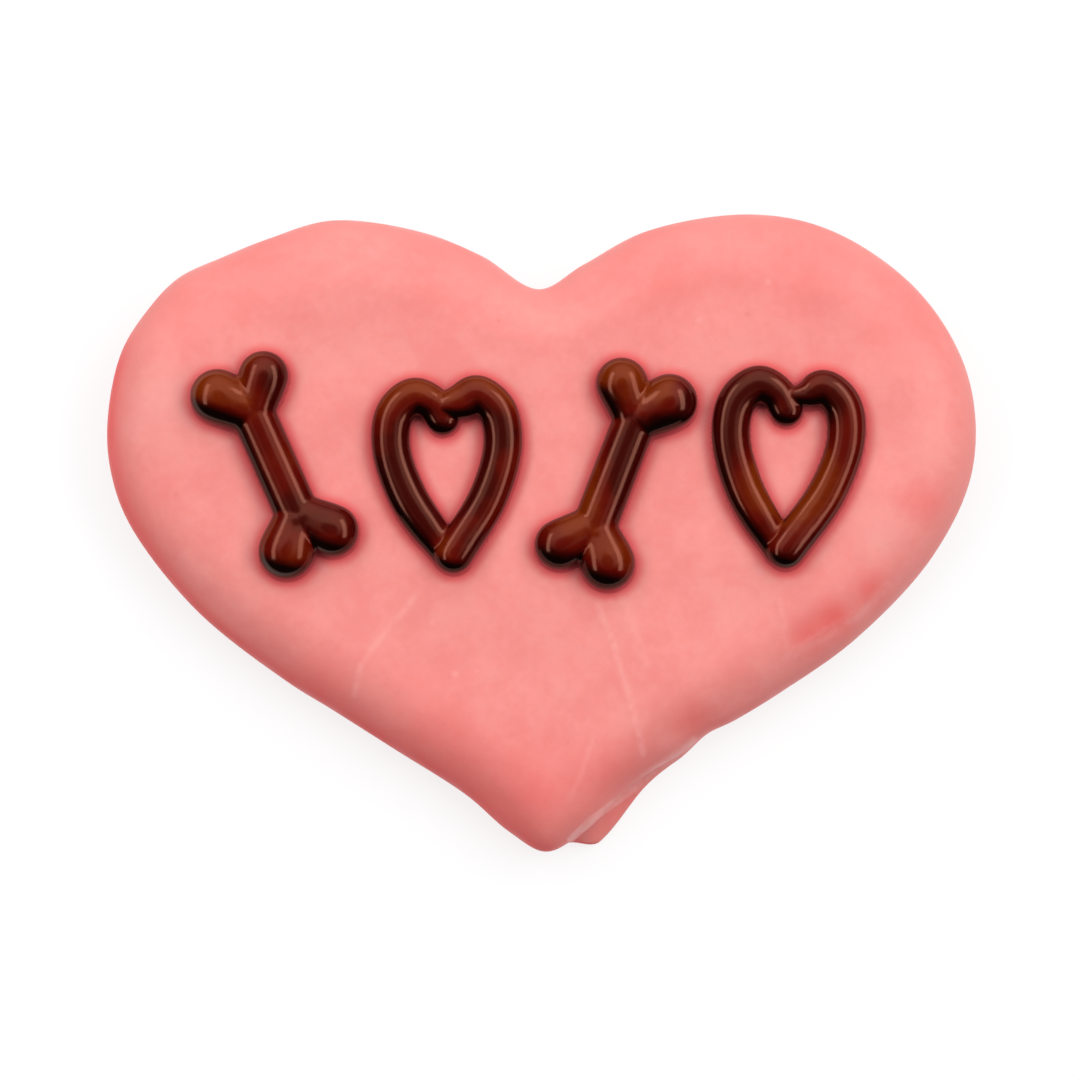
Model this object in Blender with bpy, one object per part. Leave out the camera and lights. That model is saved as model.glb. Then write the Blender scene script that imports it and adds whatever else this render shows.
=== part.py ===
"""A heart-shaped dog biscuit in a pink icing coat, with two bones and two hearts piped on it.

Metres, +Z up. The biscuit lies on its flat underside. The origin is under the middle of its outline, +X
runs across the two lobes and -Y points at the heart's tip. The coat hides the biscuit on every side, so
the two are one solid, and each piped motif is a solid of its own that rests on the level top.
"""

import math
from dataclasses import dataclass

import bmesh
import bpy
import numpy as np

MM = 0.001

# ---- driving dimensions ----------------------------------------------------------------------------
HEART_WIDTH = 100.0 * MM
THICKNESS = 9.6 * MM
REST_GAP = 0.3 * MM  # between the coat and what is piped on it

# ---- the heart's outline, anticlockwise from the cleft, drawn 100 mm wide --------------------------
DRAWN_WIDTH = 100.0
OUTLINE_DRAWN = (
    (-0.4, 27.9),  # cleft
    (-6.9, 31.7),
    (-14.0, 34.5),
    (-24.2, 35.8),  # left crown
    (-31.2, 33.8),
    (-36.7, 31.6),  # the left lobe's flat shoulder
    (-41.8, 29.2),
    (-45.3, 25.6),
    (-48.4, 20.6),
    (-50.0, 12.5),  # widest point on the left
    (-49.5, 6.4),
    (-47.3, 0.6),
    (-39.8, -9.0),
    (-29.4, -17.2),
    (-24.1, -20.5),
    (-17.0, -25.0),
    (-8.7, -30.3),  # the left flank steepens towards the tip
    (-3.8, -34.5),
    (0.4, -36.8),  # tip
    (4.3, -34.9),
    (11.0, -29.4),
    (16.0, -26.1),
    (19.1, -23.3),  # the dent in the right flank
    (22.5, -21.5),
    (27.7, -18.3),
    (36.1, -12.3),
    (45.0, -2.7),
    (49.5, 7.2),
    (49.0, 17.8),
    (43.5, 27.4),
    (33.8, 34.4),
    (24.4, 36.5),  # right crown
    (12.1, 34.6),
    (4.7, 30.7),
)

# ---- the coat's section, from the rim where its side stands upright --------------------------------
RIM_HEIGHT = 2.4 * MM
SHOULDER_REACH = 7.8 * MM  # how far in from the rim the top becomes level
SHOULDER_POWER = 2.15  # 2 is an ellipse; more makes the shoulder fuller
RIM_BLEND = (0.4 * MM, 1.2 * MM)  # inside this band the exact distance to the rim gives way to a soft one
FOOT_INSET = 0.4 * MM  # how far the foot of the side turns under
# height above the base, share of the foot's inset, share of the icing that has run out
SIDE_STEPS = (
    (0.0, 1.0, 0.80),
    (0.25 * MM, 0.3, 0.95),
    (0.7 * MM, 0.0, 1.0),
    (1.2 * MM, 0.0, 0.84),
    (1.7 * MM, 0.0, 0.42),
    (2.1 * MM, 0.0, 0.12),
    (RIM_HEIGHT, 0.0, 0.0),
)
# Icing that has run out along the right flank: reach, where it begins and where it ends, from the tip
LOBE = (1.7 * MM, (2.2 * MM, 4.6 * MM), (7.0 * MM, 20.0 * MM))  # stands out past the outline
LIP = (0.7 * MM, (6.0 * MM, 12.0 * MM), (34.0 * MM, 44.0 * MM))  # lies inside the outline

# ---- mesh density ----------------------------------------------------------------------------------
SPOKES = 92
FINE_RIM = 12  # how many times finer the rim is that distances are measured to
SHOULDER_STEPS_IN = (0.35, 0.95, 1.8, 2.9, 4.3, 6.0, 8.2)  # millimetres in from the rim
TOP_RINGS = (0.72, 0.4)  # shares of the way from the middle to the last shoulder ring
HUB = (0.0, -3.0 * MM)  # every point of the outline can be seen from here
CURVE_STEPS = 40  # points of a smooth line between two of its anchors
SHARP_ANGLE = math.radians(50)

# ---- piping ----------------------------------------------------------------------------------------
LINE_HEIGHT_SHARE = 0.80  # half height over half width of the piped line's section
LINE_SEAT_SHARE = 0.32  # how far the section's centre stands above the coat, over half width
BULB_LENGTH = 3.0 * MM  # how soon a blob at a line's end thins to the line
CLIMB_LENGTH = 4.0 * MM
LINE_STEP = 1.2 * MM
FEWEST_STATIONS = 4
LINE_SIDES = 12
NOSE_STEPS = 3
WELD = 0.001 * MM

BONE_KNOB_MIDDLE = (2.85 * MM, 9.6 * MM)  # from the bone's middle
BONE_KNOB_TAIL = (0.7 * MM, 7.2 * MM)  # where a knob's short line has run into the shaft
BONE_KNOB_SIZES = (1.0, 0.92, 0.96, 1.03)  # each knob comes out a little different
BONE_KNOB = 3.1 * MM  # half widths of the piped line, here and below
BONE_SHAFT = 2.5 * MM
HEART_HALF_WIDTH = 6.4 * MM
HEART_HALF_HEIGHT = 9.0 * MM
HEART_LINE = 2.2 * MM
HEART_START = 1.9 * MM
HEART_POINT = 1.8 * MM
HEART_FLICK = 0.8 * MM
HEART_CLIMB = (0.5 * MM, 1.1 * MM)  # how far the second line rides up over the first, at each of its ends
# Half of a heart from its cleft to its point, in half widths and half heights
HALF_HEART = (
    (0.06, 0.71),
    (0.24, 0.91),
    (0.56, 1.0),  # crown
    (0.90, 0.80),
    (0.99, 0.38),
    (0.72, -0.26),
    (0.05, -1.0),
)

PINK_ICING = ((0.91, 0.30, 0.27, 1.0), 0.42)
DARK_ICING = ((0.085, 0.012, 0.004, 1.0), 0.22)


def clear_scene():
    """Removes every object, so that the file can be run again."""
    for obj in list(bpy.data.objects):
        bpy.data.objects.remove(obj)


def make_material(name, look):
    """Returns a Principled material from a (colour, roughness) pair."""
    colour, roughness = look
    material = bpy.data.materials.new(name)
    material.use_nodes = True
    shader = material.node_tree.nodes["Principled BSDF"]
    shader.inputs["Base Color"].default_value = colour
    shader.inputs["Roughness"].default_value = roughness
    shader.inputs["Metallic"].default_value = 0.0
    material.diffuse_color = colour
    return material


# ---- curves ----------------------------------------------------------------------------------------
def spline_segment(before, start, end, after):
    """Points of a centripetal Catmull-Rom segment from start up to, but not including, end."""
    knot_a = math.sqrt(np.linalg.norm(start - before))
    knot_b = math.sqrt(np.linalg.norm(end - start))
    knot_c = math.sqrt(np.linalg.norm(after - end))
    leave = (start - before) / knot_a - (end - before) / (knot_a + knot_b) + (end - start) / knot_b
    arrive = (end - start) / knot_b - (after - start) / (knot_b + knot_c) + (after - end) / knot_c
    t = np.arange(CURVE_STEPS)[:, None] / CURVE_STEPS
    return (
        (2 * t**3 - 3 * t**2 + 1) * start
        + (t**3 - 2 * t**2 + t) * knot_b * leave
        + (3 * t**2 - 2 * t**3) * end
        + (t**3 - t**2) * knot_b * arrive
    )


def smooth_line(anchors, closed):
    """Returns points close together on a smooth line through the anchors."""
    anchors = np.asarray(anchors, float)
    if closed:
        around = np.vstack([anchors[-1:], anchors, anchors[:2]])
    else:
        ahead, behind = 2 * anchors[:1] - anchors[1:2], 2 * anchors[-1:] - anchors[-2:-1]
        around = np.vstack([ahead, anchors, behind])
    pieces = [spline_segment(*around[i : i + 4]) for i in range(len(around) - 3)]
    return np.vstack(pieces + ([] if closed else [anchors[-1:]]))


def evenly(points, count, closed):
    """Returns count points at even distances along a polyline."""
    line = np.vstack([points, points[:1]]) if closed else points
    along = np.concatenate([[0.0], np.cumsum(np.linalg.norm(np.diff(line, axis=0), axis=1))])
    wanted = np.linspace(0.0, along[-1], count, endpoint=not closed)
    return np.stack([np.interp(wanted, along, line[:, k]) for k in range(line.shape[1])], axis=1)


def outward_normals(loop):
    """Unit normals of an anticlockwise closed loop, pointing out of it."""
    tangent = np.roll(loop, -1, axis=0) - np.roll(loop, 1, axis=0)
    tangent /= np.linalg.norm(tangent, axis=1)[:, None]
    return np.stack([tangent[:, 1], -tangent[:, 0]], axis=1)


def ease(x, low, high):
    """0 below low, 1 above high, and smooth between."""
    t = np.clip((x - low) / (high - low), 0.0, 1.0)
    return t * t * (3 - 2 * t)


# ---- the coated biscuit ----------------------------------------------------------------------------
def run_out(loop, shape):
    """How far icing has run out at each point of the outline, where shape is its reach, rise and fade."""
    reach, rise, fade = shape
    steps = np.linalg.norm(np.roll(loop, -1, axis=0) - loop, axis=1)
    along = np.concatenate([[0.0], np.cumsum(steps)[:-1]])
    from_tip = along - along[np.argmin(loop[:, 1])]
    return reach * ease(from_tip, *rise) * (1 - ease(from_tip, *fade))


def heart_rim(count):
    """Returns the rim of the coat's upright side, its normals and how far icing runs out past it.

    The rim is centred in plan, as the run-out icing makes it.
    """
    drawn = smooth_line(OUTLINE_DRAWN, closed=True) * (HEART_WIDTH / DRAWN_WIDTH)
    outline = evenly(drawn, count, closed=True)
    normals = outward_normals(outline)
    lobe, lip = run_out(outline, LOBE), run_out(outline, LIP)
    widest = outline + normals * lobe[:, None]
    middle = (widest.min(axis=0) + widest.max(axis=0)) / 2
    return outline - normals * lip[:, None] - middle, normals, lobe + lip


def distance_to(points, loop):
    """Shortest distance from each point to a closed loop of straight edges."""
    start, edge = loop, np.roll(loop, -1, axis=0) - loop
    offset = points[:, None] - start
    share = np.clip((offset * edge).sum(axis=2) / (edge**2).sum(axis=1), 0.0, 1.0)
    return np.linalg.norm(offset - share[..., None] * edge, axis=2).min(axis=1)


def soft_distance_to(points, loop):
    """Distance to the rim with no crease along the middle: an inverse fourth-power mean over the rim.

    The integral of r**-4 along a straight edge at distance d is pi / (2 * d**3), which sets the factor.
    """
    exact = distance_to(points, loop)
    edges = np.linalg.norm(np.roll(loop, -1, axis=0) - loop, axis=1)
    middles = (np.roll(loop, -1, axis=0) + loop) / 2
    squares = ((points[:, None] - middles) ** 2).sum(axis=2)
    soft = (2 / math.pi * (edges / squares**2).sum(axis=1)) ** (-1 / 3)
    trust = ease(exact, *RIM_BLEND)
    return exact * (1 - trust) + soft * trust


def top_height(points, loop):
    """Height of the coat's top over each point inside the rim."""
    inside = np.clip(soft_distance_to(points, loop) / SHOULDER_REACH, 0.0, 1.0)
    rise = (1 - (1 - inside) ** SHOULDER_POWER) ** (1 / SHOULDER_POWER)
    return RIM_HEIGHT + (THICKNESS - RIM_HEIGHT) * rise


def biscuit_rings():
    """Returns the rings of points of the coated biscuit, from its base up its side and over its top."""
    rim, normals, reach = heart_rim(SPOKES)
    fine_rim = heart_rim(SPOKES * FINE_RIM)[0]
    rings = []
    for height, inset_share, reach_share in SIDE_STEPS:
        out = reach * reach_share - FOOT_INSET * inset_share
        rings.append(np.column_stack([rim + normals * out[:, None], np.full(SPOKES, height)]))
    hub = np.array(HUB)
    spokes = rim - hub
    lengths = np.linalg.norm(spokes, axis=1)[:, None]
    plans = [hub + spokes * (1 - step * MM / lengths) for step in SHOULDER_STEPS_IN]
    plans += [hub + (plans[-1] - hub) * share for share in TOP_RINGS]
    for plan in plans:
        rings.append(np.column_stack([plan, top_height(plan, fine_rim)]))
    return rings


def make_biscuit(material):
    """Builds the coated biscuit as one closed solid."""
    bm = bmesh.new()
    loops = [[bm.verts.new(point) for point in ring] for ring in biscuit_rings()]
    bm.faces.new(list(reversed(loops[0])))
    for lower, upper in zip(loops, loops[1:]):
        for i in range(SPOKES):
            j = (i + 1) % SPOKES
            bm.faces.new((lower[i], lower[j], upper[j], upper[i]))
    crown = bm.verts.new((*HUB, THICKNESS))
    for i in range(SPOKES):
        bm.faces.new((loops[-1][i], loops[-1][(i + 1) % SPOKES], crown))
    return finish_object("iced_biscuit", bm, material)


def finish_object(name, bm, material):
    """Turns a bmesh into a smooth-shaded object with one material."""
    mesh = bpy.data.meshes.new(name)
    bm.to_mesh(mesh)
    bm.free()
    mesh.materials.append(material)
    mesh.shade_smooth()
    mesh.set_sharp_from_angle(angle=SHARP_ANGLE)
    obj = bpy.data.objects.new(name, mesh)
    bpy.context.scene.collection.objects.link(obj)
    return obj


# ---- piped motifs ----------------------------------------------------------------------------------
@dataclass
class Line:
    """One piped line of a motif, drawn round the motif's own centre."""

    anchors: np.ndarray
    half_width: float
    start: float  # half width of the blob or point at the first anchor
    end: float
    climb: tuple = (0.0, 0.0)  # how far each end rides up over the line beneath it


@dataclass
class Motif:
    """A motif and where it is piped."""

    name: str
    lines: list
    centre: tuple
    tilt: float  # degrees anticlockwise
    scale: float = 1.0

    def place(self, anchors):
        """Turns, sizes and moves a line's anchors to the motif's place on the biscuit."""
        turn = math.radians(self.tilt)
        x, y = (anchors * self.scale).T
        turned = (x * math.cos(turn) - y * math.sin(turn), x * math.sin(turn) + y * math.cos(turn))
        return np.column_stack(turned) + self.centre


def bone_lines():
    """A bone's shaft and the four short lines that make its knobs."""
    tail = np.array(BONE_KNOB_TAIL)
    shaft = Line(np.array([(0.0, tail[1]), (0.0, -tail[1])]), BONE_SHAFT, BONE_SHAFT, BONE_SHAFT)
    corners = ((-1, 1), (1, 1), (1, -1), (-1, -1))
    return [shaft] + [
        Line(np.array([BONE_KNOB_MIDDLE, tail]) * corner, BONE_SHAFT, size * BONE_KNOB, BONE_SHAFT)
        for corner, size in zip(corners, BONE_KNOB_SIZES)
    ]


def heart_lines(flick):
    """The two lines that make a heart: down its left side, then up its right side and over the first.

    flick is where the second line's end is pulled to, past the cleft.
    """
    half = np.array(HALF_HEART) * (HEART_HALF_WIDTH, HEART_HALF_HEIGHT)
    left = half * (-1, 1)
    right = np.vstack([half[:0:-1], [flick]])
    return [
        Line(left, HEART_LINE, HEART_START, HEART_POINT),
        Line(right, HEART_LINE, HEART_LINE, HEART_FLICK, climb=HEART_CLIMB),
    ]


MOTIFS = (
    Motif("piped_bone_left", bone_lines(), (-30.2 * MM, 7.9 * MM), 24.0),
    Motif("piped_heart_left", heart_lines((-3.0 * MM, 7.6 * MM)), (-10.6 * MM, 6.6 * MM), 2.0),
    Motif("piped_bone_right", bone_lines(), (8.3 * MM, 6.8 * MM), 159.0, 1.02),
    Motif("piped_heart_right", heart_lines((-1.4 * MM, 8.0 * MM)), (27.8 * MM, 7.4 * MM), -3.0, 1.03),
)


def piped_widths(line, along):
    """Half width of a piped line at each distance along it, with a blob or a taper at either end."""
    near_start = np.exp(-((along / BULB_LENGTH) ** 2))
    near_end = np.exp(-(((along[-1] - along) / BULB_LENGTH) ** 2))
    start, end = line.start - line.half_width, line.end - line.half_width
    return line.half_width + start * near_start + end * near_end


def line_stations(line, motif):
    """Returns a piped line's sections: middle, direction, half width, middle's height, share of full size.

    The last few at either end shrink to a round nose.
    """
    points = smooth_line(motif.place(line.anchors), closed=False)
    length = np.linalg.norm(np.diff(points, axis=0), axis=1).sum()
    count = max(FEWEST_STATIONS, round(length / LINE_STEP) + 1)
    points = evenly(points, count, closed=False)
    along = np.linspace(0.0, length, count)
    widths = piped_widths(line, along)
    ways = np.gradient(points, axis=0)
    ways /= np.linalg.norm(ways, axis=1)[:, None]
    heights = THICKNESS + widths * LINE_SEAT_SHARE
    heights += line.climb[0] * np.exp(-((along / CLIMB_LENGTH) ** 2))
    heights += line.climb[1] * np.exp(-(((length - along) / CLIMB_LENGTH) ** 2))
    stations = [(points[i], ways[i], widths[i], heights[i], 1.0) for i in range(count)]
    for k in range(1, NOSE_STEPS + 1):
        turn = math.pi / 2 * k / NOSE_STEPS
        for i, forward in ((0, -1), (count - 1, 1)):
            nose = points[i] + ways[i] * forward * widths[i] * math.sin(turn)
            station = (nose, ways[i], widths[i], heights[i], math.cos(turn))
            stations.insert(0 if forward < 0 else len(stations), station)
    return stations


def piped_line(name, line, motif, material):
    """Builds one piped line as a closed tube with round ends."""
    bm = bmesh.new()
    rings = []
    half_side = math.pi / LINE_SIDES  # turns the ring so that its lowest face lies level
    for middle, way, width, height, share in line_stations(line, motif):
        side = np.array([-way[1], way[0]])
        ring = []
        for k in range(LINE_SIDES):
            angle = (2 * k + 1) * half_side
            across = middle + side * width * share * math.cos(angle)
            up = height + width * share * LINE_HEIGHT_SHARE * math.sin(angle)
            ring.append(bm.verts.new((*across, up)))
        rings.append(ring)
    for near, far in zip(rings, rings[1:]):
        for k in range(LINE_SIDES):
            m = (k + 1) % LINE_SIDES
            bm.faces.new((near[k], near[m], far[m], far[k]))
    bmesh.ops.remove_doubles(bm, verts=bm.verts, dist=WELD)
    bmesh.ops.recalc_face_normals(bm, faces=bm.faces)
    return finish_object(name, bm, material)


def add_boolean(obj, other, operation):
    """Adds an exact Boolean of obj with other and hides the other."""
    modifier = obj.modifiers.new(operation.lower(), "BOOLEAN")
    modifier.operation = operation
    modifier.solver = "EXACT"
    modifier.object = other
    other.hide_render = True
    other.display_type = "WIRE"


def make_coat_cutter():
    """A block whose top is the plane that the piping rests on. It cuts each motif's flat seat."""
    size = 2 * HEART_WIDTH
    bm = bmesh.new()
    bmesh.ops.create_cube(bm, size=size)
    bmesh.ops.translate(bm, verts=bm.verts, vec=(0.0, 0.0, THICKNESS + REST_GAP - size / 2))
    mesh = bpy.data.meshes.new("coat_cutter")
    bm.to_mesh(mesh)
    bm.free()
    cutter = bpy.data.objects.new("coat_cutter", mesh)
    bpy.context.scene.collection.objects.link(cutter)
    return cutter


def make_motif(motif, material, cutter):
    """Builds one piped motif: its lines joined into one body, with a flat seat."""
    names = [motif.name] + [f"{motif.name}_line_{n + 2}" for n in range(len(motif.lines) - 1)]
    first, *others = [piped_line(name, line, motif, material) for name, line in zip(names, motif.lines)]
    for other in others:
        add_boolean(first, other, "UNION")
    add_boolean(first, cutter, "DIFFERENCE")


def main():
    """Builds the biscuit and the four motifs piped on it."""
    clear_scene()
    pink = make_material("pink_icing", PINK_ICING)
    dark = make_material("dark_icing", DARK_ICING)
    make_biscuit(pink)
    cutter = make_coat_cutter()
    for motif in MOTIFS:
        make_motif(motif, dark, cutter)


main()
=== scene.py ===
"""The looks of a heart-shaped dog biscuit: a satin pink icing coat with bones and hearts piped on it.

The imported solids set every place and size, and each of them is replaced here by a fine mesh of the same
form. Lengths are in metres. What is drawn on the biscuit is given in millimetres, as the maker would mark
it out, with +X across the two lobes and -Y towards the heart's tip.
"""

import logging
import math
from dataclasses import dataclass
from enum import Enum

import bpy
import numpy as np
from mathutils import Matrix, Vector


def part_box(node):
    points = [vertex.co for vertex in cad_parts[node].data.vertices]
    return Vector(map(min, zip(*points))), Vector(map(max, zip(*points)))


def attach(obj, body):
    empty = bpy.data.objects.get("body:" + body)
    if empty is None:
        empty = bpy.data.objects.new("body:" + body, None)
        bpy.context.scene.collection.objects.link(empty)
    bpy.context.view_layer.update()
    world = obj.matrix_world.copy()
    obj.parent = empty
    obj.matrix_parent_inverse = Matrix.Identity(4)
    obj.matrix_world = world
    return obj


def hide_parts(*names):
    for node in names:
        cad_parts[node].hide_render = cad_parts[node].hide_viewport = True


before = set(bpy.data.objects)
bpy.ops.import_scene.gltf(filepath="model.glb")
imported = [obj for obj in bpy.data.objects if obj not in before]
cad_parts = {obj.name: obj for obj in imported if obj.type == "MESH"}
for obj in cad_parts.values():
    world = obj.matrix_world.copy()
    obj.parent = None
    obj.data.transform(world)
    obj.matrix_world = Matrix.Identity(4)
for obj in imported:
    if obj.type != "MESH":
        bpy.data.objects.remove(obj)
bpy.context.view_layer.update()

MM = 0.001
BODY = "root"
CONTACT_SHADE = "contact_shade"  # the coat's attribute that says how much painted shade falls on it beside the dark icing
BATCH = 2000  # how many points are measured at a time, which keeps the arrays small
CREASE = math.radians(55)  # faces that meet at more than this are shaded with a sharp edge
LOG = logging.getLogger("biscuit")

Colour = tuple[float, float, float, float]
Point = tuple[float, float]
Span = tuple[float, float]  # from, to
Way = tuple[float, float, float]
Socket = bpy.types.NodeSocket


# ---- curves ----
def smooth_line(anchors: np.ndarray, closed: bool, steps: int = 40) -> np.ndarray:
    """Draws a centripetal Catmull-Rom line through anchors.

    Args:
        anchors: the points that the line passes through, one to a row.
        closed: whether the line runs back to its first point.
        steps: how many points to put between two anchors.

    Returns:
        Points close together along the line, one to a row.
    """
    anchors = np.asarray(anchors, float)
    if closed:
        around = np.vstack([anchors[-1:], anchors, anchors[:2]])
    else:
        around = np.vstack([2 * anchors[:1] - anchors[1:2], anchors, 2 * anchors[-1:] - anchors[-2:-1]])
    before, start, end, after = around[:-3, None], around[1:-2, None], around[2:-1, None], around[3:, None]
    knot_a = np.sqrt(np.linalg.norm(start - before, axis=2, keepdims=True))
    knot_b = np.sqrt(np.linalg.norm(end - start, axis=2, keepdims=True))
    knot_c = np.sqrt(np.linalg.norm(after - end, axis=2, keepdims=True))
    leave = (start - before) / knot_a - (end - before) / (knot_a + knot_b) + (end - start) / knot_b
    arrive = (end - start) / knot_b - (after - start) / (knot_b + knot_c) + (after - end) / knot_c
    t = np.arange(steps)[None, :, None] / steps
    line = (
        (2 * t**3 - 3 * t**2 + 1) * start
        + (t**3 - 2 * t**2 + t) * knot_b * leave
        + (3 * t**2 - 2 * t**3) * end
        + (t**3 - t**2) * knot_b * arrive
    ).reshape(-1, anchors.shape[1])
    return line if closed else np.vstack([line, anchors[-1:]])


def evenly(points: np.ndarray, count: int, closed: bool) -> np.ndarray:
    """Spaces points at even distances along a line.

    Args:
        points: the line, one point to a row.
        count: how many points to return.
        closed: whether the line runs back to its first point.

    Returns:
        The evenly spaced points, one to a row.
    """
    line = np.vstack([points, points[:1]]) if closed else points
    along = np.concatenate([[0.0], np.cumsum(np.linalg.norm(np.diff(line, axis=0), axis=1))])
    wanted = np.linspace(0.0, along[-1], count, endpoint=not closed)
    return np.stack([np.interp(wanted, along, line[:, k]) for k in range(line.shape[1])], axis=1)


def ease(x: np.ndarray, low: float, high: float) -> np.ndarray:
    """Returns 0 below low, 1 above high, and a smooth rise between."""
    t = np.clip((x - low) / (high - low), 0.0, 1.0)
    return t * t * (3 - 2 * t)


def distance_to_line(points: np.ndarray, line: np.ndarray) -> np.ndarray:
    """Measures the shortest distance from each point to a line of straight edges.

    Args:
        points: where to measure from, one to a row.
        line: the line's points in order.

    Returns:
        One distance for each point.
    """
    start, edge = line[:-1], np.diff(line, axis=0)
    squared = (edge**2).sum(axis=1)
    found = []
    for first in range(0, len(points), BATCH):
        offset = points[first : first + BATCH, None] - start
        share = np.clip((offset * edge).sum(axis=2) / squared, 0.0, 1.0)
        found.append(np.linalg.norm(offset - share[..., None] * edge, axis=2).min(axis=1))
    return np.concatenate(found)


# ---- unevenness made by hand ----
@dataclass(frozen=True)
class Swell:
    """Many faint waves that cross each other, as in icing that was spread by hand."""

    seed: int
    count: int
    lengths: Span  # shortest and longest wave
    height: float

    def at(self, plan: np.ndarray) -> np.ndarray:
        """Adds the waves up.

        Args:
            plan: points in one, two or three dimensions, one to a row.

        Returns:
            The height of the swell at each point.
        """
        rng = np.random.default_rng(self.seed)
        ways = rng.normal(size=(self.count, plan.shape[1]))
        ways /= np.linalg.norm(ways, axis=1, keepdims=True)
        waves = ways * (2 * math.pi / rng.uniform(*self.lengths, (self.count, 1)))
        phases = rng.uniform(0.0, 2 * math.pi, self.count)
        return self.height * math.sqrt(2 / self.count) * np.sin(plan @ waves.T + phases).sum(axis=1)


@dataclass(frozen=True)
class Dent:
    """A shallow hollow in the coat. Its sizes are in millimetres."""

    middle: Point
    half_length: float
    half_width: float
    turn: float  # degrees anticlockwise from +X
    depth: float

    def drop(self, plan: np.ndarray) -> np.ndarray:
        """Returns how far the dent lowers the coat, in metres, at each point of the plan."""
        turn = math.radians(self.turn)
        x, y = (plan / MM - self.middle).T
        along, across = x * math.cos(turn) + y * math.sin(turn), y * math.cos(turn) - x * math.sin(turn)
        return self.depth * MM * np.exp(-((along / self.half_length) ** 2) - (across / self.half_width) ** 2)


@dataclass(frozen=True)
class FoldOrHighlight:
    """A pale line where the setting icing wrinkled; with no rise, a band of painted highlight. Its sizes are
    in millimetres.
    """

    points: tuple[Point, ...]
    half_width: float
    rise: float
    paleness: float  # 0 to 1
    crispness: float = 0.0  # the share of its width that is fully pale

    def lift(self, plan: np.ndarray) -> np.ndarray:
        """Returns how far the fold raises the coat, in metres, at each point of the plan."""
        away = distance_to_line(plan / MM, smooth_line(np.array(self.points), closed=False, steps=6))
        return self.rise * MM * np.exp(-((away / self.half_width) ** 2))


@dataclass(frozen=True)
class Speck:
    """A crumb, a bubble, or a soft patch of painted shade and sheen. Its sizes are in millimetres."""

    middle: Point
    radius: float
    strength: float  # below 0 darkens, above 0 pales


FOLDS_AND_HIGHLIGHTS = (
    FoldOrHighlight(((-13.9, -6.7), (-16.3, -9.6), (-18.4, -12.1), (-20.5, -15.0), (-21.3, -18.4)), 0.55, 0.035, 0.26),
    FoldOrHighlight(((6.4, -8.4), (8.2, -12.6), (9.4, -16.6), (10.5, -20.6), (11.6, -25.2)), 0.55, 0.04, 0.28),
    FoldOrHighlight(((8.8, -6.7), (10.2, -10.1), (11.7, -14.8)), 0.85, 0.03, 0.17),
    FoldOrHighlight(((5.8, -23.5), (4.7, -27.0), (3.2, -30.3)), 0.5, 0.03, 0.15),
    FoldOrHighlight(((27.0, -7.8), (27.6, -10.4), (28.0, -13.4)), 0.5, 0.03, 0.15),
    FoldOrHighlight(((28.1, -13.7), (31.8, -11.4), (36.5, -8.6)), 0.6, 0.05, 0.17),
    # painted highlights: flat pale bands along the lower right flank's lip, with no rise
    FoldOrHighlight(((3.4, -35.1), (5.8, -32.8), (8.4, -31.0), (10.6, -29.4)), 0.52, 0.0, 0.55, crispness=0.6),
    FoldOrHighlight(((10.6, -29.4), (12.2, -27.9), (15.0, -25.8), (17.4, -23.9)), 0.8, 0.0, 0.42, crispness=0.2),
    FoldOrHighlight(((28.2, -13.7), (32.0, -12.2), (36.0, -9.4), (39.5, -6.0)), 0.9, 0.0, 0.24),
)
DENTS = (
    Dent((32.3, -10.3), 5.6, 2.0, 32.0, 0.26),
    Dent((15.2, -22.7), 3.2, 2.0, 40.0, 0.22),
    Dent((22.8, -18.6), 3.6, 1.8, 32.0, 0.14),
    Dent((-4.8, -31.4), 2.6, 1.6, -40.0, 0.22),
    Dent((-34.9, -10.2), 4.6, 2.2, -42.0, 0.14),
    Dent((-41.9, 26.6), 3.4, 1.8, 42.0, 0.16),
    Dent((-43.0, 9.0), 2.4, 4.2, 0.0, 0.10),
    Dent((-36.0, 17.5), 5.0, 3.0, 60.0, -0.06),
    Dent((40.5, 1.5), 4.0, 2.4, -60.0, -0.08),
)
# soft patches of painted shade (strength below 0) and painted sheen (strength above 0)
SHADE_AND_SHEEN_PATCHES = (
    Speck((-2.0, -31.0), 9.0, -0.36),
    Speck((9.0, -28.5), 6.0, -0.36),
    Speck((-10.0, -26.0), 6.0, -0.3),
    Speck((-15.0, -20.5), 7.0, -0.2),
    Speck((-25.0, -17.0), 5.0, -0.35),
    Speck((30.4, -11.8), 2.6, -0.5),
    Speck((33.4, -9.8), 2.8, -0.66),
    Speck((37.4, -6.6), 2.6, -0.46),
    Speck((43.4, 3.6), 2.8, -0.36),
    Speck((17.3, -21.8), 3.0, -0.4),
    Speck((13.5, 30.0), 7.0, -0.2),
    Speck((29.0, 31.0), 8.0, -0.2),
    Speck((41.0, 25.0), 7.0, -0.24),
    Speck((-11.0, 30.5), 7.0, -0.16),
    Speck((-32.0, 30.0), 8.0, -0.17),
    Speck((-41.0, 25.0), 5.0, -0.18),
    Speck((-45.5, 3.0), 6.0, -0.18),
    Speck((38.0, 0.0), 3.6, 0.3),
    Speck((43.0, 10.0), 4.0, 0.15),
    Speck((22.0, -9.5), 3.4, 0.16),
    Speck((-43.5, 14.5), 4.6, 0.25),
    Speck((-22.0, 21.0), 5.0, 0.08),
)
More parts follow.
